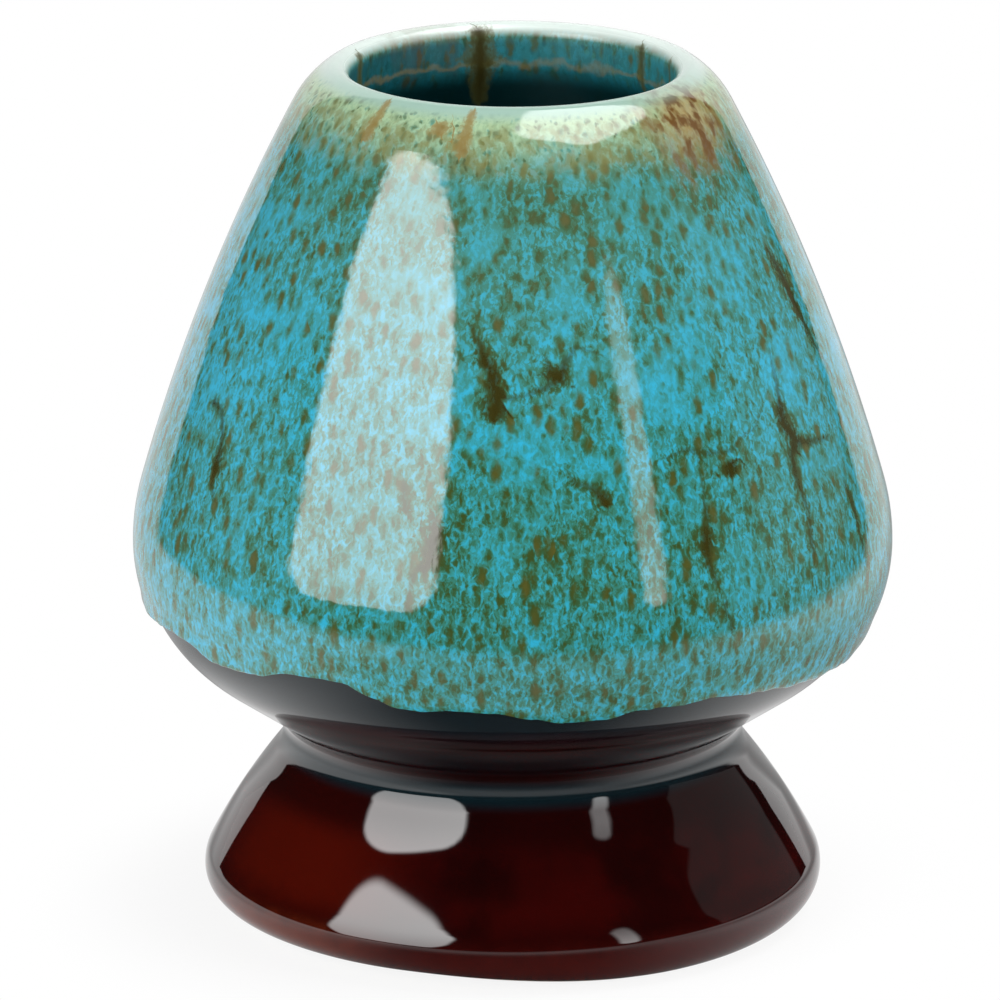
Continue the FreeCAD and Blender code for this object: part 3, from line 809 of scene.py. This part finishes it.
# studio: azimuth in degrees from the front, positive to the right; metres; brightness of a white card is 1
studio = {
    "middle": (0, 0, 0.037),
    "away": 1.5,
    "floorRadius": 2.4,
    "sheetMiddle": (-30, 60, 0),
    "sheetRadius": 175,
    "wallRadius": 2.0,
    "wallHeight": 2.2,
    "wallStart": 140,
    "wallShine": 0.82,
    "surround": 0.01,
    "roomTone": (0.02, 0.02, 0.02),
    "sheetTone": (0.85, 0.85, 0.85),
    "panels": {
        "leftBox": {
            "azimuth": -47.4, "elevation": 15.5, "width": 1.38, "height": 1.26,
            "corner": 0.57, "topCorner": 0.42, "soft": 0.08, "bright": 4.8, "ends": (0.5, 1.0),
        },
        "rightStrip": {
            "azimuth": 43, "elevation": 15.5, "width": 0.27, "height": 0.9,
            "corner": 0.12, "soft": 0.07, "bright": 2.7, "ends": (1.0, 0.4),
        },
        "topRight": {
            "azimuth": 84, "elevation": 69, "width": 1.5, "height": 1.1,
            "corner": 0.35, "soft": 0.1, "bright": 4.0,
        },
        "greyPanel": {
            "azimuth": 107, "elevation": 10.5, "width": 1.5, "height": 1.3,
            "corner": 0.1, "soft": 0.05, "bright": 0.12,
        },
        "leftFill": {
            "azimuth": -80, "elevation": 20, "width": 1.4, "height": 1.3,
            "corner": 0.3, "soft": 0.1, "bright": 1.5, "matt": True,
        },
        "frontFill": {
            "azimuth": 0, "elevation": 35, "width": 1.8, "height": 1.5,
            "corner": 0.3, "soft": 0.1, "bright": 1.0, "matt": True,
        },
        "rightFill": {
            "azimuth": 72, "elevation": 28, "width": 1.4, "height": 1.3,
            "corner": 0.3, "soft": 0.1, "bright": 2.9, "matt": True,
        },
    },
}


def eyeAndMirror(r):
    # 1 for rays from the eye, and 1 for those from a mirror or through a glass
    eye = r.add("LightPath", output="Is Camera Ray")
    return eye, r.add("LightPath", output="Is Glossy Ray").most(r.add("LightPath", output="Is Transmission Ray"))


def makeFloor():
    # a pale sheet; the eye sees white past its edge, a mirror sees the dim room in front of it,
    # and in a mirror the floor has a painted shadow in front of the foot and painted light beside and behind it
    r = Recipe(bpy.data.materials.new("floorPaper"))
    place = r.millimetres()
    away = r.vector("DISTANCE", place, studio["sheetMiddle"], "Value")
    sheet = r.rise(away, studio["sheetRadius"] - 30, studio["sheetRadius"] + 30, 1.0, 0.0)
    across = r.axis(place, "X")
    back = across.beside("Y")
    sheet = sheet.most(r.rise(back - across.size() * 1.15, -100, -50))
    eye, mirror = eyeAndMirror(r)
    radius = r.vector("LENGTH", place, output="Value")
    # painted shadow in front of the foot and painted light beside and behind it, and farther out painted light to the
    # left and right, all as a mirror sees the floor
    paintedShadowByFoot = r.rise(across.size() + back * 0.7, -15, 40, 0.03, 0.95)
    paintedLightFarOut = 0.4 + r.rise(across, -70, -30, 0.45, 0.0) + r.rise(across, 50, 110, 0.0, 0.55)
    share = paintedShadowByFoot + (paintedLightFarOut - paintedShadowByFoot) * r.rise(radius, 36, 60)
    near = r.rise(radius, 26, 44, 0.88, 1.0)
    tone = r.blend(sheet * (eye * near).most(1 - mirror), studio["roomTone"], studio["sheetTone"])
    lit = r.add("BsdfDiffuse", {}, {"Color": tone})
    white = r.add("Emission", {}, {"Color": (1, 1, 1, 1), "Strength": 1.0})
    paper = r.finish(r.add("MixShader", {}, {0: (eye * near).most(mirror * sheet * share), 1: lit, 2: white}))
    mesh = bmesh.new()
    bmesh.ops.create_circle(mesh, cap_ends=True, radius=studio["floorRadius"], segments=96)
    stagePiece("floor", mesh, paper)


def wallPaper():
    r = Recipe(bpy.data.materials.new("wallPaper"))
    lit = r.add("BsdfDiffuse", {}, {"Color": (0.9, 0.9, 0.9, 1)})
    white = r.add("Emission", {}, {"Color": (1, 1, 1, 1), "Strength": 1.0})
    eye, mirror = eyeAndMirror(r)
    return r.finish(r.add("MixShader", {}, {0: eye.most(mirror * studio["wallShine"]), 1: lit, 2: white}))


def stagePiece(name, mesh, material):
    data = bpy.data.meshes.new(name)
    mesh.to_mesh(data)
    mesh.free()
    data.shade_smooth()
    data.materials.append(material)
    piece = bpy.data.objects.new(name, data)
    bpy.context.scene.collection.objects.link(piece)


def makeBackdrop():
    start = studio["wallStart"]
    mesh = bmesh.new()
    turn = math.radians(start)
    foot = mesh.verts.new((studio["wallRadius"] * math.sin(turn), -studio["wallRadius"] * math.cos(turn), 0))
    made = bmesh.ops.extrude_vert_indiv(mesh, verts=[foot])
    made["verts"][0].co.z = studio["wallHeight"]
    bmesh.ops.spin(
        mesh, geom=mesh.verts[:] + mesh.edges[:], cent=(0, 0, 0), axis=(0, 0, 1),
        angle=math.radians(360 - 2 * start), steps=48, use_duplicate=False,
    )
    stagePiece("backdrop", mesh, wallPaper())


def makePanel(name, p):
    # a lamp with rounded corners and a soft border; ends is its brightness at the lower and upper edge
    turn, lift = math.radians(p["azimuth"]), math.radians(p["elevation"])
    out = Vector((math.sin(turn) * math.cos(lift), -math.cos(turn) * math.cos(lift), math.sin(lift)))
    lamp = bpy.data.lights.new(name, "AREA")
    lamp.shape = "RECTANGLE"
    lamp.size, lamp.size_y = p["width"], p["height"]
    lamp.energy = p["bright"] * math.pi * p["width"] * p["height"]
    r = Recipe(lamp)
    spot = r.axis(r.add("NewGeometry", output="Parametric"), "X")
    corner = r.rise(spot.beside("Y"), 0.4, 0.7, p["corner"], p.get("topCorner", p["corner"]))
    across = ((spot - 0.5).size() * p["width"] - (p["width"] / 2 - corner)).most(0.0)
    up = ((spot.beside("Y") - 0.5).size() * p["height"] - (p["height"] / 2 - corner)).most(0.0)
    edge = (across * across + up * up) ** 0.5
    lowEnd, highEnd = p.get("ends", (1.0, 1.0))
    shine = r.rise(edge - corner, -p["soft"], 0.0, 1.0, 0.0) * (spot.beside("Y") * (highEnd - lowEnd) + lowEnd)
    r.finish(r.add("Emission", {}, {"Color": (1, 1, 1, 1), "Strength": shine}), "OutputLight")
    piece = bpy.data.objects.new(name, lamp)
    piece.location = Vector(studio["middle"]) + out * studio["away"]
    piece.rotation_euler = out.to_track_quat("Z", "Y").to_euler()
    piece.visible_camera = False
    piece.visible_glossy = "matt" not in p
    bpy.context.scene.collection.objects.link(piece)


makeFloor()
makeBackdrop()
for name, panel in studio["panels"].items():
    makePanel(name, panel)
world = bpy.data.worlds.new("studioAir")
world.use_nodes = True
world.node_tree.nodes["Background"].inputs["Color"].default_value = (studio["surround"],) * 3 + (1,)
bpy.context.scene.world = world
print("studio lit")

camera = {"elevation": 16.4, "away": 0.9, "lens": 374.2, "shift": (-0.0127, -0.006)}


def makeCamera():
    lift = math.radians(camera["elevation"])
    back = Vector((0, -math.cos(lift), math.sin(lift)))
    data = bpy.data.cameras.new("photoCamera")
    data.lens, data.sensor_width = camera["lens"], 36
    data.shift_x, data.shift_y = camera["shift"]
    data.clip_start, data.clip_end = 0.05, 20
    piece = bpy.data.objects.new("photoCamera", data)
    piece.location = Vector(studio["middle"]) + back * camera["away"]
    piece.rotation_euler = back.to_track_quat("Z", "Y").to_euler()
    bpy.context.scene.collection.objects.link(piece)
    bpy.context.scene.camera = piece


makeCamera()
bpy.context.scene.view_settings.view_transform = "Standard"
bpy.context.view_layer.update()
